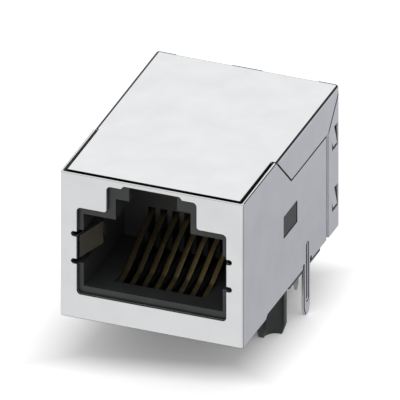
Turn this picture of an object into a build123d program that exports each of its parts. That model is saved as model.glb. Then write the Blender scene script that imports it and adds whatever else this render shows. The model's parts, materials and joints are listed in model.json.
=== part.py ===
from build123d import *
import os
from math import sqrt

# Shielded modular jack for a printed circuit board, with one horizontal port.
# X is the width, Y the depth towards the rear and Z the height over the board.
# The origin lies on the board's surface, midway between the two locating pegs.
# The shield and the housing are symmetrical, so each is drawn as its right half.

os.makedirs("parts", exist_ok=True)

# Overall size over the metal shield
width = 15.5
depth = 21.25
height = 13.0
peg_setback = 10.55

# Sheet metal of the shield, and the gaps between the pieces
sheet = 0.25
front_bend = 0.5
cover_bend = 0.3
lap = 0.03
seam = 0.1
front_seam = 0.28
side_seam = 0.18
fit = 0.05
face_gap = 0.12

# Lower edge of the shield: the front corners reach the board, the rest stands off
standoff = 0.3
foot_length = 5.1

# Opening in the front plate, in three steps from the wide port to the latch notch,
# with the top of each step measured down from the cover
port_width = 12.57
port_bottom = 2.24
port_drop = 3.03
step_width = 7.53
step_drop = 0.65
notch_width = 4.7
notch_drop = 0.38
notch_slope = 0.2
port_corner = 0.3

# Spring fingers at both sides of the port, a little over its middle, which touch the plug
finger_rise = 0.245
finger_height = 2.1
finger_relief = 0.36
finger_relief_depth = 0.48
finger_reach = 1.0
finger_run = 3.2
finger_curl_run = 0.9
finger_curl_back = 0.5
finger_bend = 0.35

# Side flanges of the cover, its wrap round the rear corners and the slanted seams
flange_start = 7.35
flange_drop = 3.2
rear_wrap = 2.4
mitre_drop = 0.45
joggle_run = 0.45
joggle_gap = 0.05

# Windows of the rear wrap, with a spring hook of the side wall in each
hook_window_inset = 0.35
hook_window_width = 1.3
hook_window_height = 2.0
hook_window_bottom = 2.22
hook_window_drop = 0.08
hook_gap = 0.15

# Relief slots along the bend between the top and the rear plate
bend_slot_length = 4.8
bend_slot_gap = 2.5
bend_slot_width = 0.3

# Windows of the side walls, filled by the snap lugs of the housing
lug_start = 9.0
lug_length = 2.9
lug_bottom = 5.37
lug_height = 1.87
lug_gap = 0.06
lug_recess = 0.04

# Ground pins in line with the side walls, each with a pressed bead
pin_setback = 3.6
pin_width = 1.3
pin_length = 4.1
pin_taper = 0.75
pin_tip_width = 0.6
pin_root_relief = 0.25
bead_width = 0.55
bead_depth = 0.14
bead_slope = 40
bead_top = 2.34
bead_bottom = -2.96

# Plastic housing and its plug cavity, which stands a little inside the edges of the port
plug_width = 11.79
plug_bottom = 2.83
plug_drop = 0.64
latch_width = 6.34
latch_drop = 1.15
slot_width = 4.06
cavity_end = 9.3
comb_wall = 1.3
floor_thickness = 0.63
base_thickness = 0.5
pocket_wall = 0.85
pocket_roof = 1.7
tray_margin = 0.62
tray_start = 1.6
finger_slot_depth = 1.1
finger_slot_run = 5.2
finger_slot_gap = 0.43

# Feet of the housing on the board: side rails behind the pegs and a middle keel
rail_front = 0.25
rail_end = 7.25
keel_width = 6.4
keel_length = 6.0

# Fluted locating pegs
peg_spacing = 11.43
peg_radius = 1.6
peg_length = 4.15
peg_tip_radius = 1.33
peg_taper = 0.85
peg_rib = 0.6
peg_core = 0.7
base_margin = 0.4

# Contact springs: flat strips bent to a hairpin at the front of the floor, with their
# heights measured from the cavity's floor
contact_count = 8
contact_pitch = 1.016
contact_width = 0.45
contact_thickness = 0.22
contact_run_height = 1.49
contact_front = 2.0
contact_front_sink = 0.31
contact_lift = 3.95
contact_lift_rise = 0.12
contact_knee = 7.15
contact_knee_rise = 1.69
contact_tip = 9.9
contact_tip_rise = 2.45
hairpin_bend = 0.5
knee_bend = 0.8
post_bend = 0.4

# Well under the contacts, grooves for them in the carrier, and comb slots in the rear wall
well_rake = 0.35
tongue_start = 2.6
comb_slot = 0.6
comb_rise = 0.47

# Solder tails in two staggered rows, spread evenly over the pocket at a pitch of 1.27
tail_count = 10
tail_edge = 0.885
tail_row_gap = 2.54
tail_inset = 1.81
tail_size = 0.35
tail_length = 3.8
tail_point = 0.5
tail_point_slope = 12

# Contact carrier, circuit board and potted transformer block in the rear pocket
riser_thickness = 2.3
board_drop = 2.2
board_thickness = 0.8
board_hole = 0.28
pin_stand_out = 0.45
block_bottom = 0.5
hole_gap = 0.03

# Faces and places that several pieces share
front = -peg_setback
rear = front + depth
side = width / 2
inside = side - sheet
tuck_side = inside - lap
flange_bottom = height - flange_drop
wrap_front = rear - rear_wrap
joggle_end = wrap_front - joggle_gap
joggle_start = joggle_end - joggle_run
port_top = height - port_drop
step_top = height - step_drop
notch_top = height - notch_drop
finger_centre = (port_bottom + port_top) / 2 + finger_rise
housing_front = front + sheet + face_gap
housing_rear = rear - sheet - fit
housing_top = height - sheet - fit
housing_side = inside - fit
plug_top = port_top - plug_drop
latch_top = step_top - latch_drop
cavity_rear = front + cavity_end
pocket_front = cavity_rear + comb_wall
pocket_side = housing_side - pocket_wall
pocket_top = housing_top - pocket_roof
tray_floor = standoff + base_thickness
tray_roof = plug_bottom - floor_thickness
riser_front = pocket_front + fit
riser_rear = riser_front + riser_thickness
post_y = riser_front + riser_thickness / 2
board_top = pocket_top - board_drop
board_bottom = board_top - board_thickness

# Places of the contacts across the width, and of the tails with their row in depth
contact_places = [(i - (contact_count - 1) / 2) * contact_pitch for i in range(contact_count)]
well_side = contact_places[-1] + comb_slot / 2
tray_side = contact_places[-1] + contact_width / 2 + tray_margin
tail_pitch = 2 * (pocket_side - tail_edge) / (tail_count - 1)
tail_rows = (rear - tail_inset, rear - tail_inset - tail_row_gap)
tail_places = [((i - (tail_count - 1) / 2) * tail_pitch, tail_rows[i % 2]) for i in range(tail_count)]

# Centres of the hook windows in the side view
hook_y = rear - hook_window_inset - hook_window_width / 2
hook_windows = [
    (hook_y, hook_window_bottom + hook_window_height / 2),
    (hook_y, flange_bottom - hook_window_drop - hook_window_height / 2),
]


# Front and sides of the shield: one strip, bent at the two front corners
with BuildPart() as shell_front:
    with BuildSketch(Plane.XY.offset(-pin_length)):
        with BuildLine():
            FilletPolyline(
                (0, front),
                (side, front),
                (side, joggle_start),
                (tuck_side, joggle_end),
                (tuck_side, housing_rear),
                radius=[front_bend, 0, 0],
            )
            offset(amount=sheet, side=Side.LEFT)
        make_face()
    extrude(amount=height + pin_length)

    # Side view: slanted top edge under the cover's flange, feet and ground pin
    with BuildSketch(Plane.YZ):
        with BuildLine():
            Polyline(
                (front, 0),
                (front, height),
                (front + flange_start, height),
                (front + flange_start + flange_drop + seam, flange_bottom - seam),
                (housing_rear, flange_bottom - seam),
                (housing_rear, standoff),
                (front + foot_length + standoff, standoff),
                (front + foot_length, 0),
                close=True,
            )
        make_face()
        with BuildLine():
            Polyline(
                (pin_setback - pin_width / 2, standoff + pin_width),
                (pin_setback - pin_width / 2, pin_taper - pin_length),
                (pin_setback - pin_tip_width / 2, -pin_length),
                (pin_setback + pin_tip_width / 2, -pin_length),
                (pin_setback + pin_width / 2, pin_taper - pin_length),
                (pin_setback + pin_width / 2, standoff + pin_width),
                close=True,
            )
        make_face()
        root_offset = (pin_width + pin_root_relief) / 2
        with Locations((pin_setback - root_offset, standoff), (pin_setback + root_offset, standoff)):
            SlotOverall(3 * pin_root_relief, pin_root_relief, rotation=90, mode=Mode.SUBTRACT)
    extrude(amount=width, mode=Mode.INTERSECT)

    # Port in the front plate, with the cuts that free the spring finger
    with BuildSketch(Plane.XZ.offset(-front)):
        with BuildLine():
            FilletPolyline(
                (0, port_bottom),
                (port_width / 2, port_bottom),
                (port_width / 2, port_top),
                (step_width / 2, port_top),
                (step_width / 2, step_top),
                (notch_width / 2 + notch_slope, step_top),
                (notch_width / 2, notch_top),
                (0, notch_top),
                radius=[port_corner, port_corner, port_corner, port_corner, 0, 0],
            )
            Line((0, port_bottom), (0, notch_top))
        make_face()
        relief_offset = (finger_height + finger_relief) / 2
        with Locations(
            (port_width / 2, finger_centre - relief_offset),
            (port_width / 2, finger_centre + relief_offset),
        ):
            SlotOverall(2 * finger_relief_depth, finger_relief)
    extrude(amount=-2 * sheet, mode=Mode.SUBTRACT)

    # Spring finger, folded in from the side edge of the port
    with BuildSketch(Plane.XY.offset(finger_centre - finger_height / 2)):
        finger_tip = (port_width / 2 - finger_reach, front + finger_run)
        with BuildLine():
            FilletPolyline(
                (port_width / 2 + finger_relief_depth, front),
                (port_width / 2, front),
                finger_tip,
                (finger_tip[0] + finger_curl_back, finger_tip[1] + finger_curl_run),
                radius=[finger_bend, finger_bend],
            )
            offset(amount=sheet, side=Side.RIGHT)
        make_face()
    extrude(amount=finger_height)

    # Window for the snap lug
    with BuildSketch(Plane.YZ):
        with Locations((front + lug_start + lug_length / 2, lug_bottom + lug_height / 2)):
            Rectangle(lug_length, lug_height)
    extrude(amount=width, mode=Mode.SUBTRACT)

    # Bead that stiffens the ground pin, pressed in from outside
    bead_centre = (pin_setback, (bead_top + bead_bottom) / 2)
    bead_length = bead_top - bead_bottom
    with BuildSketch(Plane.YZ.offset(inside)):
        with Locations(bead_centre):
            SlotOverall(bead_length + bead_depth, bead_width + bead_depth, rotation=90)
    extrude(amount=-bead_depth, taper=bead_slope)
    with BuildSketch(Plane.YZ.offset(side)):
        with Locations(bead_centre):
            SlotOverall(bead_length, bead_width, rotation=90)
    extrude(amount=-bead_depth, taper=bead_slope, mode=Mode.SUBTRACT)

    # Hooks under the cover's wrap: tongues cut free and sprung out towards their lower end
    with BuildSketch(Plane.YZ.offset(tuck_side)):
        with Locations(hook_windows):
            Rectangle(hook_window_width - hook_gap, hook_window_height - hook_gap)
    extrude(amount=-2 * sheet, mode=Mode.SUBTRACT)
    hook_length = hook_window_height - 2 * hook_gap
    hook_width = hook_window_width - 2 * hook_gap
    with BuildSketch(Plane.XZ.offset(-hook_y)):
        for place in hook_windows:
            hook_top = place[1] + hook_window_height / 2 - hook_gap / 2
            hook_foot = hook_top - hook_length
            with BuildLine():
                Polyline(
                    (tuck_side, hook_top),
                    (side, hook_foot),
                    (side - sheet, hook_foot),
                    (tuck_side - sheet, hook_top),
                    close=True,
                )
            make_face()
    extrude(amount=hook_width / 2, both=True)
    mirror(about=Plane.YZ)

shell_front.part.label = "shell_front"
export_step(shell_front.part, "parts/shell_front.step")


# Cover of the shield: top and rear plate of one sheet, with folded side edges
with BuildPart() as shell_cover:
    cover_front = front + sheet + front_seam
    cover_edge = inside - side_seam
    with BuildSketch(Plane.XY.offset(standoff)):
        with Locations((0, cover_front)):
            Rectangle(side, rear - cover_front, align=(Align.MIN, Align.MIN))
    extrude(amount=height - standoff)
    top_side_edge = edges().filter_by(Axis.Y).group_by(Axis.Z)[-1].sort_by(Axis.X)[-1]
    top_rear_edge = edges().filter_by(Axis.X).group_by(Axis.Z)[-1].sort_by(Axis.Y)[-1]
    rear_side_edge = edges().filter_by(Axis.Z).group_by(Axis.X)[-1].sort_by(Axis.Y)[-1]
    fillet([top_side_edge, top_rear_edge, rear_side_edge], cover_bend)
    open_front = faces().sort_by(Axis.Y)[0]
    open_bottom = faces().sort_by(Axis.Z)[0]
    open_middle = faces().sort_by(Axis.X)[0]
    offset(amount=-sheet, openings=[open_front, open_bottom, open_middle])

    # Side wall: only the top flange and the wrap round the rear corner stay
    with BuildSketch(Plane.YZ.offset(cover_edge)):
        with BuildLine():
            Polyline(
                (cover_front, 0),
                (wrap_front, 0),
                (wrap_front, flange_bottom),
                (front + flange_start + flange_drop + seam * sqrt(2), flange_bottom),
                (front + flange_start + seam * sqrt(2), height),
                (cover_front, height),
                close=True,
            )
        make_face()
        mitre_slope = (flange_drop - mitre_drop) / rear_wrap
        with BuildLine() as mitre:
            Line((wrap_front - seam, flange_bottom - seam * mitre_slope), (rear, height - mitre_drop))
        trace(mitre.line, line_width=seam)
        with Locations(hook_windows):
            Rectangle(hook_window_width, hook_window_height)
    extrude(amount=side - cover_edge, mode=Mode.SUBTRACT)

    # Relief slot along the bend to the rear plate
    with BuildSketch(Plane.XY.offset(height)):
        with Locations((bend_slot_gap / 2, rear)):
            Rectangle(bend_slot_length, bend_slot_width, align=(Align.MIN, Align.MAX))
    extrude(amount=-bend_slot_width, mode=Mode.SUBTRACT)
    mirror(about=Plane.YZ)

shell_cover.part.label = "shell_cover"
export_step(shell_cover.part, "parts/shell_cover.step")


# Housing: the moulded plastic body with the plug cavity, the rear pocket and the pegs
with BuildPart() as housing:
    base_end = peg_radius + base_margin
    tuck_housing = tuck_side - sheet - fit
    with BuildSketch(Plane.XY.offset(standoff)):
        with BuildLine():
            Polyline(
                (0, housing_front),
                (housing_side, housing_front),
                (housing_side, joggle_start - fit),
                (tuck_housing, joggle_start - fit),
                (tuck_housing, housing_rear),
                (0, housing_rear),
                close=True,
            )
        make_face()
    extrude(amount=housing_top - standoff)
    chamfer(edges().filter_by(Axis.Z).group_by(Axis.X)[-1].sort_by(Axis.Y)[0], front_bend - sheet)

    # Feet on the board: middle keel, bar behind the pegs and side rails
    with BuildSketch():
        with Locations((0, rail_front)):
            Rectangle(keel_width / 2, keel_length, align=(Align.MIN, Align.MAX))
            Rectangle(housing_side, base_end - rail_front, align=(Align.MIN, Align.MIN))
        with Locations((pocket_side, rail_front)):
            Rectangle(housing_side - pocket_side, rail_end - rail_front, align=(Align.MIN, Align.MIN))
    extrude(amount=standoff)

    # Plug cavity in three steps: plug, latch and the slot that the latch moves in
    with BuildSketch(Plane.XZ.offset(-housing_front)):
        with Locations((0, plug_bottom)):
            Rectangle(plug_width / 2, plug_top - plug_bottom, align=(Align.MIN, Align.MIN))
            Rectangle(latch_width / 2, latch_top - plug_bottom, align=(Align.MIN, Align.MIN))
            Rectangle(slot_width / 2, housing_top - plug_bottom, align=(Align.MIN, Align.MIN))
    extrude(amount=housing_front - cavity_rear, mode=Mode.SUBTRACT)

    # Slot in the side wall of the cavity for the shield's spring finger
    with BuildSketch(Plane.XY.offset(finger_centre - finger_height / 2 - finger_slot_gap)):
        with Locations((0, housing_front)):
            slot_run = front + finger_slot_run - housing_front
            slot_side = plug_width / 2 + finger_slot_depth
            Rectangle(slot_side, slot_run, align=(Align.MIN, Align.MIN))
    extrude(amount=finger_height + 2 * finger_slot_gap, mode=Mode.SUBTRACT)

    # Pocket under the floor for the contact carrier, and the large pocket at the rear
    with BuildSketch(Plane.YZ):
        with BuildLine():
            Polyline(
                (front + tray_start, tray_floor),
                (front + tray_start, tray_roof),
                (pocket_front, tray_roof),
                (pocket_front, tray_floor),
                close=True,
            )
        make_face()
    extrude(amount=tray_side, mode=Mode.SUBTRACT)
    with BuildSketch(Plane.YZ):
        with BuildLine():
            Polyline(
                (pocket_front, tray_floor),
                (pocket_front, pocket_top),
                (housing_rear, pocket_top),
                (housing_rear, 0),
                (base_end, 0),
                (base_end, tray_floor),
                close=True,
            )
        make_face()
    extrude(amount=pocket_side, mode=Mode.SUBTRACT)

    # Groove for the back of the pressed bead, and the snap lug in the side window
    with BuildSketch(Plane.YZ.offset(housing_side)):
        with Locations((pin_setback, 0)):
            Rectangle(bead_width + 3 * bead_depth, bead_top + 2 * bead_depth, align=(Align.CENTER, Align.MIN))
    extrude(amount=-bead_depth, mode=Mode.SUBTRACT)
    with BuildSketch(Plane.YZ.offset(housing_side)):
        with Locations((front + lug_start + lug_length / 2, lug_bottom + lug_height / 2)):
            Rectangle(lug_length - 2 * lug_gap, lug_height - 2 * lug_gap)
    extrude(amount=side - lug_recess - housing_side)

    # Peg with four flutes between narrow ribs, tapered at its tip
    with BuildSketch(Plane.XY.offset(standoff)):
        rib_far = sqrt(peg_radius**2 - (peg_rib / 2) ** 2)
        flute_chord = (rib_far - peg_rib / 2) / sqrt(2)
        flute_depth = (rib_far + peg_rib / 2) / sqrt(2) - peg_core
        flute_radius = (flute_chord**2 + flute_depth**2) / (2 * flute_depth)
        with Locations((peg_spacing / 2, 0)):
            Circle(peg_radius)
            with PolarLocations(peg_core + flute_radius, 4, start_angle=45):
                Circle(flute_radius, mode=Mode.SUBTRACT)
    extrude(amount=-standoff - peg_length)
    with BuildSketch(Plane.XZ):
        with BuildLine():
            Polyline(
                (peg_spacing / 2 + peg_tip_radius, -peg_length),
                (peg_spacing / 2 + peg_radius, peg_taper - peg_length),
                (peg_spacing / 2 + peg_radius, -peg_length),
                close=True,
            )
        make_face()
    revolve(axis=Axis((peg_spacing / 2, 0, 0), (0, 0, 1)), mode=Mode.SUBTRACT)
    mirror(about=Plane.YZ)

    # Well in the floor under all the contacts, and a comb of slots in the rear wall
    with BuildSketch(Plane.YZ):
        with BuildLine():
            Polyline(
                (front + tray_start, tray_roof),
                (front + tray_start + well_rake, plug_bottom),
                (cavity_rear, plug_bottom),
                (cavity_rear, tray_roof),
                close=True,
            )
        make_face()
    extrude(amount=well_side, both=True, mode=Mode.SUBTRACT)
    comb_top = plug_bottom + contact_tip_rise + comb_rise
    with BuildSketch(Plane.XZ.offset(-cavity_rear)):
        for x in contact_places:
            with Locations((x, tray_roof)):
                Rectangle(comb_slot, comb_top - tray_roof, align=(Align.CENTER, Align.MIN))
    extrude(amount=-comb_wall, mode=Mode.SUBTRACT)

housing.part.label = "housing"
export_step(housing.part, "parts/housing.step")


# Contact springs: each rises from the circuit board's holes, runs forward under the floor,
# turns back in a hairpin and slopes up to the comb
for number, x in enumerate(contact_places, start=1):
    with BuildPart() as contact:
        with BuildSketch(Plane.YZ.offset(x)):
            with BuildLine():
                FilletPolyline(
                    (post_y + contact_thickness / 2, board_top + pin_stand_out),
                    (post_y + contact_thickness / 2, contact_run_height),
                    (front + contact_front, contact_run_height),
                    (front + contact_front, plug_bottom - contact_front_sink),
                    (front + contact_lift, plug_bottom + contact_lift_rise),
                    (front + contact_knee, plug_bottom + contact_knee_rise),
                    (front + contact_tip, plug_bottom + contact_tip_rise),
                    radius=[post_bend, hairpin_bend, hairpin_bend, knee_bend, knee_bend],
                )
                offset(amount=contact_thickness, side=Side.RIGHT)
            make_face()
        extrude(amount=contact_width / 2, both=True)
    contact.part.label = f"contact_{number}"
    export_step(contact.part, f"parts/contact_{number}.step")


# Contact carrier: a tongue under the floor with a groove for each contact, and a riser
# with a slit for each contact's post
with BuildPart() as contact_carrier:
    groove_floor = contact_run_height - hole_gap
    tongue_top = contact_run_height + contact_thickness
    with BuildSketch(Plane.YZ):
        with BuildLine():
            Polyline(
                (front + tongue_start, tray_floor + fit),
                (front + tongue_start, tongue_top),
                (riser_front, tongue_top),
                (riser_front, tray_floor + fit),
                close=True,
            )
        make_face()
    extrude(amount=tray_side - fit, both=True)
    with BuildSketch(Plane.YZ):
        with Locations((riser_front, tray_floor + fit)):
            Rectangle(riser_thickness, board_bottom - tray_floor - fit, align=(Align.MIN, Align.MIN))
    extrude(amount=pocket_side - fit, both=True)
    with BuildSketch(*[Plane.YZ.offset(x) for x in contact_places]):
        with BuildLine():
            Polyline(
                (front + tongue_start, groove_floor),
                (post_y + contact_thickness / 2 + hole_gap, groove_floor),
                (post_y + contact_thickness / 2 + hole_gap, board_bottom),
                (riser_front, board_bottom),
                (riser_front, tongue_top),
                (front + tongue_start, tongue_top),
                close=True,
            )
        make_face()
    extrude(amount=contact_width / 2 + hole_gap, both=True, mode=Mode.SUBTRACT)

contact_carrier.part.label = "contact_carrier"
export_step(contact_carrier.part, "parts/contact_carrier.step")


# Circuit board on top of the carrier and the transformer block
with BuildPart() as circuit_board:
    board_rear = housing_rear - fit
    with BuildSketch(Plane.XY.offset(board_bottom)):
        with Locations((0, riser_front)):
            Rectangle(2 * (pocket_side - fit), board_rear - riser_front, align=(Align.CENTER, Align.MIN))
        with Locations([(x, post_y) for x in contact_places] + tail_places):
            Circle(board_hole, mode=Mode.SUBTRACT)
    extrude(amount=board_thickness)

circuit_board.part.label = "circuit_board"
export_step(circuit_board.part, "parts/circuit_board.step")


# Transformer block: the coils are potted in one block, which also holds the tails
with BuildPart() as transformer_block:
    with BuildSketch(Plane.XY.offset(block_bottom)):
        with Locations((0, riser_rear + fit)):
            Rectangle(2 * (pocket_side - fit), board_rear - riser_rear - fit, align=(Align.CENTER, Align.MIN))
        with Locations(tail_places):
            Rectangle(tail_size + 2 * hole_gap, tail_size + 2 * hole_gap, mode=Mode.SUBTRACT)
    extrude(amount=board_bottom - block_bottom)

transformer_block.part.label = "transformer_block"
export_step(transformer_block.part, "parts/transformer_block.step")


# Solder tails: square posts from the circuit board down through the block
for number, place in enumerate(tail_places, start=1):
    with BuildPart() as tail:
        with BuildSketch(Plane.XY.offset(tail_point - tail_length)):
            with Locations(place):
                Rectangle(tail_size, tail_size)
        extrude(amount=board_top + pin_stand_out + tail_length - tail_point)
        tip = faces().sort_by(Axis.Z)[0]
        extrude(tip, amount=tail_point, taper=tail_point_slope)
    tail.part.label = f"tail_{number}"
    export_step(tail.part, f"parts/tail_{number}.step")
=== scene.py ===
# %% [markdown]
# # A shielded board jack, dressed for its picture
#
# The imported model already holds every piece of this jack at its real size: a bent steel
# shield in two pieces, a moulded housing, eight sprung contacts, ten solder tails and the
# insides. This lesson gives those pieces the softened edges and the finishes that they have
# on a real connector, and sets the camera, the floor and the lights around them.

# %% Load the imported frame
import json
from math import cos, radians, sin, tau

import bmesh
import bpy
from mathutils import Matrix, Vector

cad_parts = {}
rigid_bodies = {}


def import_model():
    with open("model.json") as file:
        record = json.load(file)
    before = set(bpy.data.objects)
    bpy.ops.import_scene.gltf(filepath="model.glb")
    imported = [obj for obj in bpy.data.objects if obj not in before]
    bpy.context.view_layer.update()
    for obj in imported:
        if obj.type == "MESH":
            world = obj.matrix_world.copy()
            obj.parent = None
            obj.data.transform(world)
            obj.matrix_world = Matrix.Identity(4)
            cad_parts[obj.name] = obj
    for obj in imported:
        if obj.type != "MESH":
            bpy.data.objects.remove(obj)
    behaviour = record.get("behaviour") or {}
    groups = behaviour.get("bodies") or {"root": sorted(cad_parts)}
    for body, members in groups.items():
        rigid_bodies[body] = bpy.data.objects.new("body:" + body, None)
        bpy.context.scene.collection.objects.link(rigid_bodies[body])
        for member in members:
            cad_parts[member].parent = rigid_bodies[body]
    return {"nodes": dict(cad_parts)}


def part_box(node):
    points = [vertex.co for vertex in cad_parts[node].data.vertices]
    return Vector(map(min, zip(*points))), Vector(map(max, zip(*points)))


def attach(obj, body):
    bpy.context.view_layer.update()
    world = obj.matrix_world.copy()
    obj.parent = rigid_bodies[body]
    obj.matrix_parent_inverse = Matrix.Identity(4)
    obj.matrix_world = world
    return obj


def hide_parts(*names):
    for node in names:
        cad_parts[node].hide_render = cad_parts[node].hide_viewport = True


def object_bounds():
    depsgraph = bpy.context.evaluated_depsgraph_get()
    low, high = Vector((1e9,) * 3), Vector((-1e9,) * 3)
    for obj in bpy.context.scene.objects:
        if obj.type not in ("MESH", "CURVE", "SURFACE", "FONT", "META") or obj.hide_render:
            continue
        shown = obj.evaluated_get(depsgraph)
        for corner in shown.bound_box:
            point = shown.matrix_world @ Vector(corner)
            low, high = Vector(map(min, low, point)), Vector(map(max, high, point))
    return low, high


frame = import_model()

MM = 0.001
cad_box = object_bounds()
print("nodes in the frame:", len(frame["nodes"]))

# %% [markdown]
# ## The camera
#
# The picture is a parallel view, so the camera is orthographic. Two angles say where it
# stands: how far round to the right of the front, and how high above the board. The aim
# point is given from the part's origin along the picture's own right and up directions.

# %% Place an orthographic camera
AZIMUTH = radians(21.1)
ELEVATION = radians(29.1)
PICTURE_WIDTH = 31.62 * MM
AIM_RIGHT = 0.04 * MM
AIM_UP = 5.65 * MM
CAMERA_DISTANCE = 0.3

to_camera = Vector((sin(AZIMUTH) * cos(ELEVATION), -cos(AZIMUTH) * cos(ELEVATION), sin(ELEVATION)))
picture_right = Vector((cos(AZIMUTH), sin(AZIMUTH), 0))
picture_up = to_camera.cross(picture_right)

camera = bpy.data.objects.new("camera", bpy.data.cameras.new("camera"))
camera.data.type = "ORTHO"
camera.data.ortho_scale = PICTURE_WIDTH
camera.data.clip_end = 2.0
camera.location = AIM_RIGHT * picture_right + AIM_UP * picture_up + CAMERA_DISTANCE * to_camera
camera.rotation_euler = to_camera.to_track_quat("Z", "Y").to_euler()
bpy.context.scene.collection.objects.link(camera)
bpy.context.scene.camera = camera
print("camera at", tuple(round(v, 3) for v in camera.location))

# %% [markdown]
# ## Tools for materials
#
# Each finish below is a small tree of nodes. Its patterns are read from Object coordinates,
# which for these pieces are metres from the part's origin, so the grain keeps its real size
# and stays on the piece. The helpers make a material, add a node with its inputs in one line,
# do sums on sockets, and lay bumps over each other.

# %% Helpers for node trees
def new_material(name, **settings):
    """A material whose Principled shader gets the given constants, with its tree and shader."""
    material = bpy.data.materials.new(name)
    material.use_nodes = True
    tree = material.node_tree
    shader = tree.nodes["Principled BSDF"]
    for key, value in settings.items():
        shader.inputs[key.replace("_", " ")].default_value = value
    return material, tree, shader


def add(tree, kind, **settings):
    """A new node with its attributes or inputs set by name."""
    node = tree.nodes.new(kind)
    for key, value in settings.items():
        if hasattr(node, key):
            setattr(node, key, value)
        else:
            node.inputs[key.replace("_", " ")].default_value = value
    return node


def maths(tree, operation, *values, clamp=False):
    """One sum on sockets and numbers."""
    node = add(tree, "ShaderNodeMath", operation=operation, use_clamp=clamp)
    for socket, value in zip(node.inputs, values):
        if isinstance(value, (int, float)):
            socket.default_value = value
        else:
            tree.links.new(value, socket)
    return node.outputs[0]


def chain(tree, operation, first, *others):
    """One operation over several sockets and numbers, from left to right."""
    for other in others:
        first = maths(tree, operation, first, other)
    return first


# %% Helpers for patterns
def place(tree):
    """The X, Y and Z of a point on the piece, in metres from the part's origin."""
    coordinates = add(tree, "ShaderNodeTexCoord")
    apart = add(tree, "ShaderNodeSeparateXYZ")
    tree.links.new(coordinates.outputs["Object"], apart.inputs[0])
    return apart.outputs["X"], apart.outputs["Y"], apart.outputs["Z"]


def noise(tree, size, stretch=(1, 1, 1), detail=2.0):
    """Noise with features of the given size in metres, stretched along an axis if asked."""
    coordinates = add(tree, "ShaderNodeTexCoord")
    mapping = add(tree, "ShaderNodeMapping", Scale=[1 / (size * s) for s in stretch])
    tree.links.new(coordinates.outputs["Object"], mapping.inputs["Vector"])
    node = add(tree, "ShaderNodeTexNoise", Scale=1.0, Detail=detail)
    tree.links.new(mapping.outputs["Vector"], node.inputs["Vector"])
    return node.outputs["Fac"]


def between(tree, factor, low, high, start=0.3, end=0.7):
    """Maps a factor from start...end onto low...high, for a value or a colour."""
    if isinstance(low, tuple):
        node = add(tree, "ShaderNodeValToRGB")
        node.color_ramp.elements[0].position = start
        node.color_ramp.elements[1].position = end
        node.color_ramp.elements[0].color = (*low, 1)
        node.color_ramp.elements[1].color = (*high, 1)
        tree.links.new(factor, node.inputs["Fac"])
        return node.outputs["Color"]
    node = add(tree, "ShaderNodeMapRange", From_Min=start, From_Max=end, To_Min=low, To_Max=high)
    tree.links.new(factor, node.inputs["Value"])
    return node.outputs["Result"]


def blend_colours(tree, factor, first, second):
    """The first colour where the factor is 0 and the second where it is 1."""
    node = add(tree, "ShaderNodeMixRGB")
    tree.links.new(factor, node.inputs["Fac"])
    for socket, colour in ((node.inputs["Color1"], first), (node.inputs["Color2"], second)):
        if isinstance(colour, tuple):
            socket.default_value = (*colour, 1)
        else:
            tree.links.new(colour, socket)
    return node.outputs["Color"]


def bump(tree, height, depth, strength=1.0, under=None):
    """A bump of the given depth in metres, laid over another bump if one is given."""
    node = add(tree, "ShaderNodeBump", Strength=strength, Distance=depth)
    tree.links.new(height, node.inputs["Height"])
    if under is not None:
        tree.links.new(under, node.inputs["Normal"])
    return node.outputs["Normal"]


# %% [markdown]
# ## Softened edges
#
# A stamped or moulded edge is never perfectly sharp. The frame's own meshes can't be changed,
# so each piece that shows gets a copy: its loose triangles are merged, flat areas become
# single faces, and a small bevel follows every edge that turns more than a little. On sheet
# metal the narrow faces where the punch cut through get a finish of their own, and so does
# the bevel, which is painted dark as shade along the edges.
#
# A bevel modifier normally holds all its edges back to the width that fits the tightest spot
# of the mesh. The front sheet goes without that clamp, so that the rims round the port keep
# their full width. The cover came out cleaner with it.

# %% Sizes for the copies
MERGE = 0.00002 * MM
FLAT = radians(0.5)
SHARP = radians(28)
SHEET = 0.25 * MM
PACKED_BEND = 0.5 * MM
FRONT_BEND = 0.2 * MM
print("the front bends go from", PACKED_BEND / MM, "to", FRONT_BEND / MM, "mm")


# %% A merged copy of a node
def link(obj):
    bpy.context.scene.collection.objects.link(obj)
    return obj


def is_cut(face, width):
    """Whether a face is a narrow strip that turns sharply at both of its long edges."""
    long_edges = [edge for edge in face.edges if edge.calc_length() > width]
    narrow = 2 * face.calc_area() < width / 2 * face.calc_perimeter()
    return narrow and all(edge.calc_face_angle(0) > SHARP for edge in long_edges)


def tighten_front_bends(shape):
    """Moves the points of the two upright front bends out, to the tighter radius."""
    centre_x = cad_box[1].x - PACKED_BEND
    centre_y = cad_box[0].y + PACKED_BEND
    shift = PACKED_BEND - FRONT_BEND
    for point in shape.verts:
        spoke = Vector((abs(point.co.x) - centre_x, centre_y - point.co.y))
        if min(spoke) > -MERGE and spoke.length > 0:
            spoke = spoke.normalized() * max(spoke.length - shift, 0)
            side = 1 if point.co.x > 0 else -1
            point.co.x = side * (centre_x + shift + spoke.x)
            point.co.y = centre_y - shift - spoke.y


def merged_copy(node, name, cut_width, tighten):
    """A mesh like a node's, with its doubles merged, its flat areas joined and its cuts marked."""
    shape = bmesh.new()
    shape.from_mesh(frame["nodes"][node].data)
    bmesh.ops.remove_doubles(shape, verts=shape.verts, dist=MERGE)
    if tighten:
        tighten_front_bends(shape)
        bmesh.ops.remove_doubles(shape, verts=shape.verts, dist=MERGE)
    bmesh.ops.dissolve_limit(shape, angle_limit=FLAT, verts=shape.verts, edges=shape.edges)
    for face in shape.faces:
        face.material_index = 1 if cut_width and is_cut(face, cut_width) else 0
    mesh = bpy.data.meshes.new(name)
    shape.to_mesh(mesh)
    shape.free()
    mesh.materials.clear()
    return mesh


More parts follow.
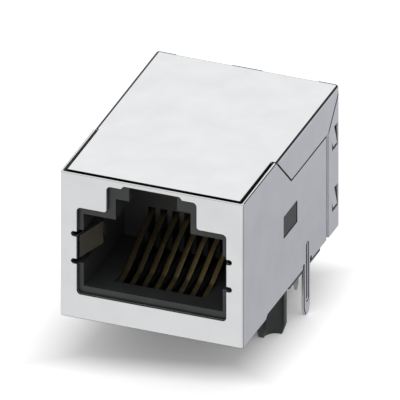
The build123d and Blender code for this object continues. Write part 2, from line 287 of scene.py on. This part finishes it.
# %% A bevelled copy of a node
def softened(node, name, width, segments, materials, cut_width=0.0, tighten=False, clamped=True):
    """Copies a node with its edges bevelled, and stands for it.

    The materials are for the faces, for faces narrower than cut_width and for the bevel.
    """
    mesh = merged_copy(node, name, cut_width, tighten)
    for material in materials:
        mesh.materials.append(material)
    mesh.shade_smooth()
    mesh.set_sharp_from_angle(angle=SHARP)
    piece = link(bpy.data.objects.new(name, mesh))
    bevel = piece.modifiers.new("soft edges", "BEVEL")
    bevel.width = width
    bevel.segments = segments
    bevel.limit_method = "ANGLE"
    bevel.angle_limit = SHARP
    bevel.use_clamp_overlap = clamped
    bevel.material = len(materials) - 1
    bevel.miter_outer = "MITER_ARC"
    bevel.loop_slide = False
    even = piece.modifiers.new("flat areas", "WEIGHTED_NORMAL")
    even.weight = 100
    even.keep_sharp = False
    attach(piece, "root")
    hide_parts(node)
    return piece


# %% [markdown]
# ## The shield
#
# The shield is stamped from thin steel strip, plated with matte tin and bent. Tin has a soft
# silvery white with a faint cloudiness and fine lines from rolling. Along each sharp fold and
# seam the tin carries a thin dark line of painted shade, for the shade that falls there. Such a
# line could be painted on an image, but a sum on the point's own place needs no image and stays
# sharp: the line is where the distance from a point on the fold is small.

# %% Where the cover ends and folds
cover_low, cover_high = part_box("shell_cover")
half_width = cover_high.x
top = cover_high.z
back = cover_high.y
front = cad_box[0].y
FOLD_RADIUS = 0.3 * MM
FOLD_LINE = 0.075 * MM
FADE = 1.5
print("cover:", [round(v / MM, 2) for v in (half_width, back, top)], "mm")


# %% A line along a fold
def fold_line(tree, across, up, corner_across, corner_up, turn, radius=FOLD_RADIUS, line=FOLD_LINE):
    """1 along a line on a fold, as far round as it turns from up to across, and 0 elsewhere."""
    side = maths(tree, "SUBTRACT", across, corner_across - radius * (1 - sin(turn)))
    rise = maths(tree, "SUBTRACT", up, corner_up - radius * (1 - cos(turn)))
    squares = [maths(tree, "POWER", offset, 2) for offset in (side, rise)]
    return between(tree, maths(tree, "SQRT", chain(tree, "ADD", *squares)), 1.0, 0.0, line, FADE * line)


# %% [markdown]
# The front sheet has such lines of painted shade at its two front corners, where it folds into
# the spring fingers beside the port, and where its walls step in under the cover.

# %% Lines on the front sheet
PORT_HALF = 6.285 * MM
FINGER_MIDDLE = 6.29 * MM
FINGER_HALF = 1.05 * MM
FINGER_FOLD = 0.35 * MM
FINGER_TURN = radians(60)
FINGER_LINE = 0.13 * MM
CORNER_TURN = radians(75)
CORNER_LINE = 0.04 * MM
CORNER_SHADE = 0.5
JOGGLE = 7.8 * MM
JOGGLE_LINE = 0.05 * MM
JOGGLE_FADE = 0.08 * MM
JOGGLE_SHADE = 0.8


# Painted shade: dark lines at the front corners, the finger folds and the joggles.
def front_lines(tree, x, y, z):
    """Lines on the front sheet: both front corners, the folds of the fingers and the joggles."""
    x = maths(tree, "ABSOLUTE", x)
    inward = maths(tree, "MULTIPLY", x, -1)
    ahead = maths(tree, "MULTIPLY", y, -1)
    corner = fold_line(tree, x, ahead, half_width, -front, CORNER_TURN, FRONT_BEND, CORNER_LINE)
    corner = maths(tree, "MULTIPLY", corner, CORNER_SHADE)
    finger = fold_line(tree, inward, ahead, -PORT_HALF, -front, FINGER_TURN, FINGER_FOLD, FINGER_LINE)
    from_middle = maths(tree, "ABSOLUTE", maths(tree, "SUBTRACT", z, FINGER_MIDDLE))
    finger = maths(tree, "MULTIPLY", finger, maths(tree, "LESS_THAN", from_middle, FINGER_HALF))
    joggle = maths(tree, "ABSOLUTE", maths(tree, "SUBTRACT", y, JOGGLE))
    joggle = between(tree, joggle, JOGGLE_SHADE, 0.0, JOGGLE_LINE, JOGGLE_FADE)
    joggle = maths(tree, "MULTIPLY", joggle, maths(tree, "GREATER_THAN", x, half_width - SHEET / 2))
    return chain(tree, "MAXIMUM", corner, finger, joggle)


# %% [markdown]
# The cover folds down at both sides and at the rear. Its line of painted shade sits high on the
# left and rear folds and halfway round the right one. Its open edges on top are painted dark as
# shade where they face the front sheet, and so is the mitre on each side, where the flange meets
# the rear wrap.

# %% Lines on the cover
REAR_TURN = radians(12)
LEFT_TURN = radians(12)
RIGHT_TURN = radians(45)
COVER_EDGE = 7.32 * MM
FLANGE_START = front + 7.35 * MM
MITRE_START = back - 2.4 * MM
MITRE_LOW = top - 3.2 * MM
MITRE_HIGH = top - 0.45 * MM
FRONT_SEAM_LINE = 0.03 * MM
SIDE_SEAM_LINE = 0.05 * MM
MITRE_LINE = 0.14 * MM
SEAM_FADE = 1.4


def cover_folds(tree, x, y, z):
    """Lines along the folds at the right, the left and the rear."""
    right = fold_line(tree, x, z, half_width, top, RIGHT_TURN)
    left = fold_line(tree, maths(tree, "MULTIPLY", x, -1), z, half_width, top, LEFT_TURN)
    rear = fold_line(tree, y, z, back, top, REAR_TURN)
    return chain(tree, "MAXIMUM", right, left, rear)


def top_seams(tree, x, y, z):
    """Lines along the open edges on top: the front one and the right one up to its flange."""
    edge = cover_low.y
    ahead = between(tree, y, 1.0, 0.0, edge + FRONT_SEAM_LINE, edge + SEAM_FADE * FRONT_SEAM_LINE)
    aside = between(tree, x, 0.0, 1.0, COVER_EDGE - SEAM_FADE * SIDE_SEAM_LINE, COVER_EDGE - SIDE_SEAM_LINE)
    aside = maths(tree, "MULTIPLY", aside, maths(tree, "LESS_THAN", y, FLANGE_START))
    on_top = maths(tree, "GREATER_THAN", z, top - SHEET)
    return maths(tree, "MULTIPLY", maths(tree, "MAXIMUM", ahead, aside), on_top)


def mitre_lines(tree, x, y, z):
    """A slanted line on each side wall, where the flange meets the wrap round the corner."""
    slope = (MITRE_HIGH - MITRE_LOW) / (back - MITRE_START)
    level = maths(tree, "MULTIPLY", maths(tree, "SUBTRACT", y, MITRE_START), slope)
    rise = maths(tree, "ABSOLUTE", chain(tree, "SUBTRACT", z, MITRE_LOW, level))
    mitre = between(tree, rise, 1.0, 0.0, MITRE_LINE, SEAM_FADE * MITRE_LINE)
    behind = maths(tree, "GREATER_THAN", y, MITRE_START)
    on_side = maths(tree, "GREATER_THAN", maths(tree, "ABSOLUTE", x), half_width - SHEET)
    return chain(tree, "MULTIPLY", mitre, behind, on_side)


# %% Matte tin plating
def tin_plating(name, *line_makers):
    """Tin on the flat of the sheet, with the dark lines of painted shade that the given functions draw."""
    material, tree, shader = new_material(name, Metallic=1.0, Roughness=0.36)
    clouds = noise(tree, 2.6 * MM, detail=3.0)
    tin = between(tree, clouds, (0.785, 0.792, 0.80), (0.835, 0.842, 0.85))
    spot = place(tree)
    lines = chain(tree, "MAXIMUM", *[make(tree, *spot) for make in line_makers])
    # Painted shade: the lines are painted near-black over the tin.
    tree.links.new(blend_colours(tree, lines, tin, (0.018, 0.018, 0.02)), shader.inputs["Base Color"])
    rolled = noise(tree, 0.04 * MM, stretch=(1, 12, 1))
    grain = noise(tree, 0.05 * MM)
    soft = bump(tree, grain, 0.0015 * MM)
    tree.links.new(bump(tree, rolled, 0.001 * MM, under=soft), shader.inputs["Normal"])
    return material


front_tin = tin_plating("tin_plating", front_lines)
cover_tin = tin_plating("folded_tin", cover_folds, top_seams, mitre_lines)
print("finishes:", front_tin.name, cover_tin.name)

# %% [markdown]
# Where the punch went through, the steel is bare. The front sheet's cut faces are still pale,
# and those of the cover are painted nearly black as shade in the seams they line. The rim beside
# a cut is painted dark too, as shade along the edge, but for the one along the front's upper
# edge, which stays pale.

# %% Cut faces
cut, tree, shader = new_material("sheared_steel", Metallic=0.3, Roughness=0.5)
tree.links.new(
    between(tree, noise(tree, 0.1 * MM, stretch=(1, 1, 4)), (0.74, 0.74, 0.74), (0.86, 0.86, 0.86)),
    shader.inputs["Base Color"],
)
# Painted shade: the cover's cut faces are painted nearly black for the shade in its seams.
dark_cut, tree, shader = new_material("oxidised_cut", Roughness=0.6, Specular_IOR_Level=0.2)
tree.links.new(
    between(tree, noise(tree, 0.2 * MM), (0.02, 0.02, 0.021), (0.05, 0.05, 0.051)),
    shader.inputs["Base Color"],
)
print("cut faces:", cut.name, dark_cut.name)

# %% Rims beside the cuts
CUT_WIDTH = 1.1 * SHEET
rim, tree, shader = new_material("bare_rim", Roughness=0.6, Specular_IOR_Level=0.2)
x, y, z = place(tree)
upper = maths(tree, "GREATER_THAN", z, top - SHEET)
foremost = maths(tree, "LESS_THAN", y, front + CUT_WIDTH)
# Painted shade: every rim is painted near-black as shade along the edge, but the upper front one stays pale.
rim_shade = between(tree, noise(tree, 0.3 * MM), (0.012, 0.012, 0.013), (0.03, 0.03, 0.031))
tree.links.new(
    blend_colours(tree, maths(tree, "MULTIPLY", upper, foremost), rim_shade, (0.62, 0.62, 0.62)),
    shader.inputs["Base Color"],
)
print("rims:", rim.name)

# %% Two soft-edged sheets
RIM = 0.06 * MM
front_sheet = softened(
    "shell_front", "front_sheet", RIM, 2, [front_tin, cut, rim], CUT_WIDTH, tighten=True, clamped=False
)
cover_sheet = softened("shell_cover", "cover_sheet", RIM, 2, [cover_tin, dark_cut, rim], CUT_WIDTH)
for sheet in (front_sheet, cover_sheet):
    print(sheet.name, len(sheet.data.polygons), "faces before its bevel")

# %% [markdown]
# ## The housing
#
# The housing and the contact insert are moulded in black glass-filled plastic. Its skin is
# slightly matt, with a fine grain from the mould, and its edges carry a small radius that
# catches the light a little. One finish with two bumps, a fine one for the grain and a wide
# one for the flow of the plastic, is enough for both pieces.

# %% Moulded black plastic
plastic, tree, shader = new_material("moulded_plastic", Roughness=0.42)
tree.links.new(
    between(tree, noise(tree, 1.5 * MM), (0.026, 0.028, 0.0275), (0.035, 0.037, 0.0365)),
    shader.inputs["Base Color"],
)
mould = bump(tree, noise(tree, 0.06 * MM), 0.004 * MM)
flow = noise(tree, 1.2 * MM, stretch=(1, 3, 1))
tree.links.new(bump(tree, flow, 0.01 * MM, under=mould), shader.inputs["Normal"])
print("plastic:", plastic.name)

# %% Two moulded pieces
HOUSING_EDGE = 0.05 * MM
INSERT_EDGE = 0.03 * MM
moulding = softened("housing", "moulding", HOUSING_EDGE, 2, [plastic])
insert = softened("contact_carrier", "contact_insert", INSERT_EDGE, 1, [plastic])
print("moulded pieces:", moulding.name, insert.name)

# %% [markdown]
# The walls of the shield stop a little above the board, and the housing stands out below them
# as a ledge that carries them. It is a plain bar with a chamfer, in two stretches on each side
# with room for the ground pin. A bar has the same section all along, so the section is drawn
# once, and each bar joins two copies of it.

# %% Ledges below the walls
LEDGE_INNER = half_width - 0.35 * MM
LEDGE_OUTER = half_width - 0.03 * MM
LEDGE_TOP = 0.29 * MM
LEDGE_CHAMFER = 0.06 * MM
LEDGE_EDGE = 0.02 * MM
LEDGE_STRETCHES = ((-0.2 * MM, 2.85 * MM), (4.35 * MM, 6.5 * MM))


def ledge(shape, side, start, end):
    """A chamfered bar along one wall, from start to end."""
    section = [
        (LEDGE_INNER, 0),
        (LEDGE_OUTER - LEDGE_CHAMFER, 0),
        (LEDGE_OUTER, LEDGE_CHAMFER),
        (LEDGE_OUTER, LEDGE_TOP),
        (LEDGE_INNER, LEDGE_TOP),
    ]
    near, far = [[shape.verts.new((side * x, y, z)) for x, z in section] for y in (start, end)]
    shape.faces.new(near)
    shape.faces.new(far)
    for i in range(len(section)):
        shape.faces.new((near[i - 1], near[i], far[i], far[i - 1]))


# %% Four bars in one mesh
shape = bmesh.new()
for side in (-1, 1):
    for start, end in LEDGE_STRETCHES:
        ledge(shape, side, start, end)
bmesh.ops.recalc_face_normals(shape, faces=shape.faces)
ledge_mesh = bpy.data.meshes.new("side_ledges")
shape.to_mesh(ledge_mesh)
shape.free()
ledge_mesh.materials.append(plastic)
ledges = link(bpy.data.objects.new("side_ledges", ledge_mesh))
worn = ledges.modifiers.new("soft edges", "BEVEL")
worn.width = LEDGE_EDGE
worn.segments = 2
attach(ledges, "root")
print("ledges:", len(LEDGE_STRETCHES), "on each side")

# %% [markdown]
# ## Contacts and tails
#
# The eight contacts are one strip repeated at an even pitch, and the ten tails are one square
# wire repeated in two staggered rows. Both are a section swept along a bent path and copied
# across the width, so one Geometry Nodes tree makes both. The path is a chain of edges in the
# side view, with the bend and the girth stored at each of its points.

# %% One tree for every row of bent bars
def bars_tree():
    """A Geometry Nodes tree that sweeps one bar along a path and repeats it across the width."""
    tree = bpy.data.node_groups.new("row_of_bars", "GeometryNodeTree")
    face = tree.interface
    face.new_socket("Geometry", in_out="OUTPUT", socket_type="NodeSocketGeometry")
    face.new_socket("Path", in_out="INPUT", socket_type="NodeSocketGeometry")
    face.new_socket("Count", in_out="INPUT", socket_type="NodeSocketInt")
    for name in ("Pitch", "Stagger", "Width", "Thickness", "Edge Radius", "Hang"):
        face.new_socket(name, in_out="INPUT", socket_type="NodeSocketFloat")
    face.new_socket("Material", in_out="INPUT", socket_type="NodeSocketMaterial")
    start = add(tree, "NodeGroupInput").outputs
    end = add(tree, "NodeGroupOutput").inputs

    def join(source, node, socket):
        tree.links.new(source, node.inputs[socket])
        return node

    # The path, with a bend at each corner as wide as its point says
    curve = join(start["Path"], add(tree, "GeometryNodeMeshToCurve"), "Mesh")
    bend = add(tree, "GeometryNodeInputNamedAttribute", Name="bend")
    bent = join(curve.outputs[0], add(tree, "GeometryNodeFilletCurve", mode="POLY", Count=6), "Curve")
    join(bend.outputs["Attribute"], bent, "Radius")

    # The section: a rectangle with rounded corners, hung to one side of the path
    section = join(start["Width"], add(tree, "GeometryNodeCurvePrimitiveQuadrilateral"), "Width")
    join(start["Thickness"], section, "Height")
    rounded = join(section.outputs[0], add(tree, "GeometryNodeFilletCurve", mode="POLY", Count=3), "Curve")
    join(start["Edge Radius"], rounded, "Radius")
    shift = join(start["Hang"], add(tree, "ShaderNodeCombineXYZ"), "Y")
    hung = join(rounded.outputs[0], add(tree, "GeometryNodeTransform"), "Geometry")
    join(shift.outputs[0], hung, "Translation")
    girth = add(tree, "GeometryNodeInputNamedAttribute", Name="girth")
    bar = join(bent.outputs[0], add(tree, "GeometryNodeCurveToMesh"), "Curve")
    bar.inputs["Fill Caps"].default_value = True
    join(hung.outputs[0], bar, "Profile Curve")
    join(girth.outputs["Attribute"], bar, "Scale")

    # The row: points across the width, every second one moved back or forward
    half = maths(tree, "MULTIPLY", maths(tree, "SUBTRACT", start["Count"], 1), -0.5)
    first = join(maths(tree, "MULTIPLY", half, start["Pitch"]), add(tree, "ShaderNodeCombineXYZ"), "X")
    step = join(start["Pitch"], add(tree, "ShaderNodeCombineXYZ"), "X")
    row = join(start["Count"], add(tree, "GeometryNodeMeshLine"), "Count")
    join(first.outputs[0], row, "Start Location")
    join(step.outputs[0], row, "Offset")
    odd = maths(tree, "MODULO", add(tree, "GeometryNodeInputIndex").outputs[0], 2)
    away = join(maths(tree, "MULTIPLY", odd, start["Stagger"]), add(tree, "ShaderNodeCombineXYZ"), "Y")
    staggered = join(row.outputs[0], add(tree, "GeometryNodeSetPosition"), "Geometry")
    join(away.outputs[0], staggered, "Offset")
    copies = join(staggered.outputs[0], add(tree, "GeometryNodeInstanceOnPoints"), "Points")
    join(bar.outputs[0], copies, "Instance")
    real = join(copies.outputs[0], add(tree, "GeometryNodeRealizeInstances"), "Geometry")
    finish = join(real.outputs[0], add(tree, "GeometryNodeSetMaterial"), "Geometry")
    join(start["Material"], finish, "Material")
    tree.links.new(finish.outputs[0], end["Geometry"])
    return tree


row_of_bars = bars_tree()
print("nodes in the tree:", len(row_of_bars.nodes))


# %% Run the tree on a path
def path_mesh(name, points):
    """A chain of edges through points (Y, Z, bend, girth), the first three in millimetres."""
    mesh = bpy.data.meshes.new(name)
    edges = [(i, i + 1) for i in range(len(points) - 1)]
    mesh.from_pydata([(0, y * MM, z * MM) for y, z, bend, girth in points], edges, [])
    bends = mesh.attributes.new("bend", "FLOAT", "POINT")
    bends.data.foreach_set("value", [bend * MM for y, z, bend, girth in points])
    girths = mesh.attributes.new("girth", "FLOAT", "POINT")
    girths.data.foreach_set("value", [girth for y, z, bend, girth in points])
    return mesh


def bars(name, points, **sizes):
    """The whole row of bars as a plain mesh, with the modifier gone."""
    host = link(bpy.data.objects.new(name + "_host", path_mesh(name + "_path", points)))
    modifier = host.modifiers.new("row", "NODES")
    modifier.node_group = row_of_bars
    for socket in row_of_bars.interface.items_tree:
        key = socket.name.replace(" ", "_")
        if socket.in_out == "INPUT" and key in sizes:
            modifier[socket.identifier] = sizes[key]
    evaluated = host.evaluated_get(bpy.context.evaluated_depsgraph_get())
    mesh = bpy.data.meshes.new_from_object(evaluated)
    mesh.name = name
    bpy.data.objects.remove(host)
    shape = bmesh.new()
    shape.from_mesh(mesh)
    bmesh.ops.recalc_face_normals(shape, faces=shape.faces)
    shape.to_mesh(mesh)
    shape.free()
    piece = link(bpy.data.objects.new(name, mesh))
    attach(piece, "root")
    print(name, len(mesh.polygons), "faces")
    return piece


# %% [markdown]
# ### Gold contacts
#
# Each contact comes down from the circuit board, runs forward under the floor, turns back in
# a hairpin and slopes up to the rear wall. The strip is copper alloy with a thin gold plating,
# which is brushed along its length. Faces that look sideways along the row are dark. The stretch
# down in the well is painted dark by its height, as painted shade for the shade in the well.
# The points of the path are in millimetres, and all other sizes in metres.

# %% Gold plating
SIDE_FROM = 0.6
SIDE_FULL = 0.8
BURIED = 2.45 * MM
OPEN = 2.7 * MM
gold, tree, shader = new_material("gold_plating", Metallic=1.0, Roughness=0.3)
x, y, z = place(tree)
facing = add(tree, "ShaderNodeSeparateXYZ")
tree.links.new(add(tree, "ShaderNodeNewGeometry").outputs["Normal"], facing.inputs[0])
sideways = maths(tree, "ABSOLUTE", facing.outputs["X"])
sheared = between(tree, sideways, 0.0, 1.0, SIDE_FROM, SIDE_FULL)
# Painted shade: below OPEN the strip is painted dark for the shade down in the well.
shaded = between(tree, z, 1.0, 0.0, BURIED, OPEN)
dark_sides_and_well_shade = maths(tree, "MAXIMUM", sheared, shaded)
plated = between(tree, noise(tree, 0.8 * MM), (0.70, 0.56, 0.30), (0.80, 0.66, 0.38))
tree.links.new(blend_colours(tree, dark_sides_and_well_shade, plated, (0.045, 0.036, 0.026)), shader.inputs["Base Color"])
tree.links.new(bump(tree, noise(tree, 0.04 * MM, stretch=(1, 8, 8)), 0.002 * MM), shader.inputs["Normal"])
print("contacts are in", gold.name)

# %% Eight contacts
CONTACT_PITCH = 1.016 * MM
CONTACT_WIDTH = 0.45 * MM
CONTACT_THICKNESS = 0.22 * MM
BAR_EDGE = 0.04 * MM
POST_BEND = 0.4
HAIRPIN_BEND = 0.5
KNEE_BEND = 0.8
HAIRPIN_TOP = 2.52
LOWER_KNEE = (-6.6, 2.95)
UPPER_KNEE = (-3.4, 4.52)
TIP = (-0.65, 5.5)

low, high = [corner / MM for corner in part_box("contact_1")]
contacts = bars(
    "contact_strips",
    [
        (high.y, high.z, 0, 1),
        (high.y, low.z, POST_BEND, 1),
        (low.y, low.z, HAIRPIN_BEND, 1),
        (low.y, HAIRPIN_TOP, HAIRPIN_BEND, 1),
        (*LOWER_KNEE, KNEE_BEND, 1),
        (*UPPER_KNEE, KNEE_BEND, 1),
        (*TIP, 0, 1),
    ],
    Count=8, Pitch=CONTACT_PITCH, Stagger=0.0, Width=CONTACT_WIDTH, Thickness=CONTACT_THICKNESS,
    Edge_Radius=BAR_EDGE, Hang=CONTACT_THICKNESS / 2, Material=gold,
)
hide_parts(*[f"contact_{i}" for i in range(1, 9)])

# %% [markdown]
# ### Solder tails
#
# The tails are square copper wire with tin, cut to a blunt point that finds its hole. The tin is
# painted darker than bright tin, as painted shade for the shade under the body. The girth stored
# at the last point of the path makes that point.

# %% Tinned wire
tinned, tree, shader = new_material("tinned_wire", Metallic=1.0, Roughness=0.4)
# Painted shade: the tin colour is set dark for the shade under the body.
tree.links.new(
    between(tree, noise(tree, 0.5 * MM), (0.34, 0.34, 0.335), (0.44, 0.44, 0.435)),
    shader.inputs["Base Color"],
)
tree.links.new(bump(tree, noise(tree, 0.05 * MM), 0.003 * MM), shader.inputs["Normal"])
print("tails are in", tinned.name)

# %% Ten tails in two rows
TAIL_PITCH = 1.27 * MM
TAIL_ROW_GAP = 2.54 * MM
TAIL_SIZE = 0.35 * MM
TAIL_POINT = 0.5
TAIL_POINT_GIRTH = 0.4

low, high = [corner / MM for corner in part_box("tail_1")]
middle = (low.y + high.y) / 2
tails = bars(
    "tail_row",
    [(middle, high.z, 0, 1), (middle, low.z + TAIL_POINT, 0, 1), (middle, low.z, 0, TAIL_POINT_GIRTH)],
    Count=10, Pitch=TAIL_PITCH, Stagger=-TAIL_ROW_GAP, Width=TAIL_SIZE, Thickness=TAIL_SIZE,
    Edge_Radius=BAR_EDGE, Hang=0.0, Material=tinned,
)
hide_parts(*[f"tail_{i}" for i in range(1, 11)])

# %% [markdown]
# ## Board and resin
#
# The small circuit board and the potted block show only from below, through the pocket at the
# rear. Their shape is plain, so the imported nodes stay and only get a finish: glass cloth under
# green lacquer, and resin with a filler that makes it speckled. The weave of the cloth is a
# product of two sine waves, one along each thread.

# %% Green laminate
CLOTH = 0.4 * MM
laminate, tree, shader = new_material("green_laminate", Roughness=0.3)
x, y, z = place(tree)
threads = [maths(tree, "SINE", maths(tree, "MULTIPLY", way, tau / CLOTH)) for way in (x, y)]
cloth = chain(tree, "MULTIPLY", *threads)
tree.links.new(
    between(tree, cloth, (0.035, 0.17, 0.08), (0.06, 0.25, 0.125), -1.0, 1.0), shader.inputs["Base Color"]
)
tree.links.new(bump(tree, cloth, 0.004 * MM), shader.inputs["Normal"])
print("board:", laminate.name)

# %% Potting resin
resin, tree, shader = new_material("potting_resin", Roughness=0.55)
speckle = noise(tree, 0.12 * MM)
tree.links.new(
    between(tree, speckle, (0.03, 0.03, 0.033), (0.075, 0.075, 0.08), 0.4, 0.65), shader.inputs["Base Color"]
)
tree.links.new(bump(tree, noise(tree, 0.9 * MM), 0.03 * MM), shader.inputs["Normal"])
print("block:", resin.name)

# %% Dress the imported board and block
for node, material in (("circuit_board", laminate), ("transformer_block", resin)):
    for slot in frame["nodes"][node].material_slots:
        slot.material = material
    print(node, "is in", material.name)

# %% [markdown]
# ## Floor, world and light
#
# The floor is a plain white plane at the pegs' tips. A white paper still renders a little
# grey, so for rays from the camera it also glows by itself. The glow is weaker round the part,
# inside four straight edges with a soft step, and that deepens the part's own shade. It can't
# be seen from below, so that the underside can be looked at.

# %% A plane under the part
HALF_FLOOR = 0.6
floor_mesh = bpy.data.meshes.new("floor")
floor_mesh.from_pydata(
    [(x * HALF_FLOOR, y * HALF_FLOOR, cad_box[0].z) for x, y in ((-1, -1), (1, -1), (1, 1), (-1, 1))],
    [], [(0, 1, 2, 3)],
)
floor = link(bpy.data.objects.new("floor", floor_mesh))
white, tree, shader = new_material("white_floor", Roughness=1.0, Specular_IOR_Level=0.0)
floor_mesh.materials.append(white)
print("floor:", 2 * HALF_FLOOR, "m wide")

# %% The floor as the camera sees it
FLOOR_GLOW = 0.5
SHADE_GLOW = 0.125
SHADE_START = -1.3 * MM
SHADE_END = 2 * MM
SHADE_EDGES = {
    "right": (0.69, 0.0, 0.69 * cad_box[1].x - 0.48 * MM),
    "left": (-0.55, 0.0, -0.55 * cad_box[0].x + 0.6 * MM),
    "behind": (0.0, 1.0, cad_box[1].y),
    "ahead": (0.22, -0.933, 8.15 * MM),
}


def along(tree, x, y, share_x, share_y):
    """How far a place on the floor lies along a direction, given by its shares of X and Y."""
    return maths(tree, "ADD", maths(tree, "MULTIPLY", x, share_x), maths(tree, "MULTIPLY", y, share_y))


rays = add(tree, "ShaderNodeLightPath").outputs
x, y, z = place(tree)
outside = chain(tree, "MAXIMUM", *[
    maths(tree, "SUBTRACT", along(tree, x, y, share_x, share_y), edge)
    for share_x, share_y, edge in SHADE_EDGES.values()
])
seen_glow = between(tree, outside, SHADE_GLOW, FLOOR_GLOW, SHADE_START, SHADE_END)
print("edges of the shade:", ", ".join(SHADE_EDGES))

# %% [markdown]
# The right wall mirrors the floor beside it. Rays that come from metal find a black floor that
# glows by itself, brighter in front, darker and a little bluer beside the part, and a little
# brighter again far behind it. That gives the wall an even grey.

# %% The floor as polished metal sees it
MIRROR_RIGHT = 0.35
MIRROR_BACK = 0.94
NEAR_GLOW = 0.86
SIDE_GLOW = 0.51
FAR_GLOW = 0.07
GLOW_START = -9 * MM
GLOW_END = -1 * MM
FAR_START = 18 * MM
FAR_END = 42 * MM

depth = along(tree, x, y, MIRROR_RIGHT, MIRROR_BACK)
mirrored = maths(
    tree, "ADD",
    between(tree, depth, NEAR_GLOW, SIDE_GLOW, GLOW_START, GLOW_END),
    between(tree, depth, 0.0, FAR_GLOW, FAR_START, FAR_END),
)
tint = maths(tree, "MULTIPLY", rays["Is Glossy Ray"], between(tree, depth, 0.0, 1.0, GLOW_START, GLOW_END))
tree.links.new(blend_colours(tree, tint, (1, 1, 1), (0.98, 0.985, 1.05)), shader.inputs["Emission Color"])
tree.links.new(
    blend_colours(tree, rays["Is Glossy Ray"], (0.93, 0.93, 0.93), (0, 0, 0)), shader.inputs["Base Color"]
)
glow = maths(
    tree, "ADD",
    maths(tree, "MULTIPLY", rays["Is Camera Ray"], seen_glow),
    maths(tree, "MULTIPLY", rays["Is Glossy Ray"], mirrored),
)
tree.links.new(glow, shader.inputs["Emission Strength"])
below = add(tree, "ShaderNodeNewGeometry").outputs["Backfacing"]
tree.links.new(maths(tree, "SUBTRACT", 1.0, below), shader.inputs["Alpha"])
print("floor is in", white.name)

# %% [markdown]
# The world is a plain white sky. It lights the part a little below full strength, while the
# camera and polished metal find it at full white.

# %% A soft white world
SKY = 0.76
world = bpy.data.worlds.new("studio")
bpy.context.scene.world = world
world.use_nodes = True
tree = world.node_tree
background = tree.nodes["Background"]
background.inputs["Color"].default_value = (1, 1, 1, 1)
rays = add(tree, "ShaderNodeLightPath").outputs
seen = maths(tree, "ADD", rays["Is Camera Ray"], rays["Is Glossy Ray"], clamp=True)
tree.links.new(between(tree, seen, SKY, 1.0, 0.0, 1.0), background.inputs["Strength"])
print("sky:", SKY)

# %% [markdown]
# One large lamp at the front left models the form. It lights the jack and not the floor, so
# the floor keeps only the soft shade under the body.

# %% Key light
KEY_DIRECTION = Vector((-0.37, -0.53, 0.77)).normalized()
KEY_DISTANCE = 0.5
KEY_SIZE = 0.3
KEY_POWER = 0.2

lamp = bpy.data.lights.new("key", "AREA")
lamp.shape = "DISK"
lamp.size = KEY_SIZE
lamp.energy = KEY_POWER
key = link(bpy.data.objects.new("key", lamp))
key.location = KEY_DIRECTION * KEY_DISTANCE
key.rotation_euler = KEY_DIRECTION.to_track_quat("Z", "Y").to_euler()
lit = bpy.data.collections.new("lit_by_key")
for obj in bpy.context.scene.objects:
    if obj.type == "MESH" and obj is not floor:
        lit.objects.link(obj)
key.light_linking.receiver_collection = lit

# %% [markdown]
# ## Last steps
#
# The view transform is Standard, so that a colour renders about as it is written.

bpy.context.scene.view_settings.view_transform = "Standard"
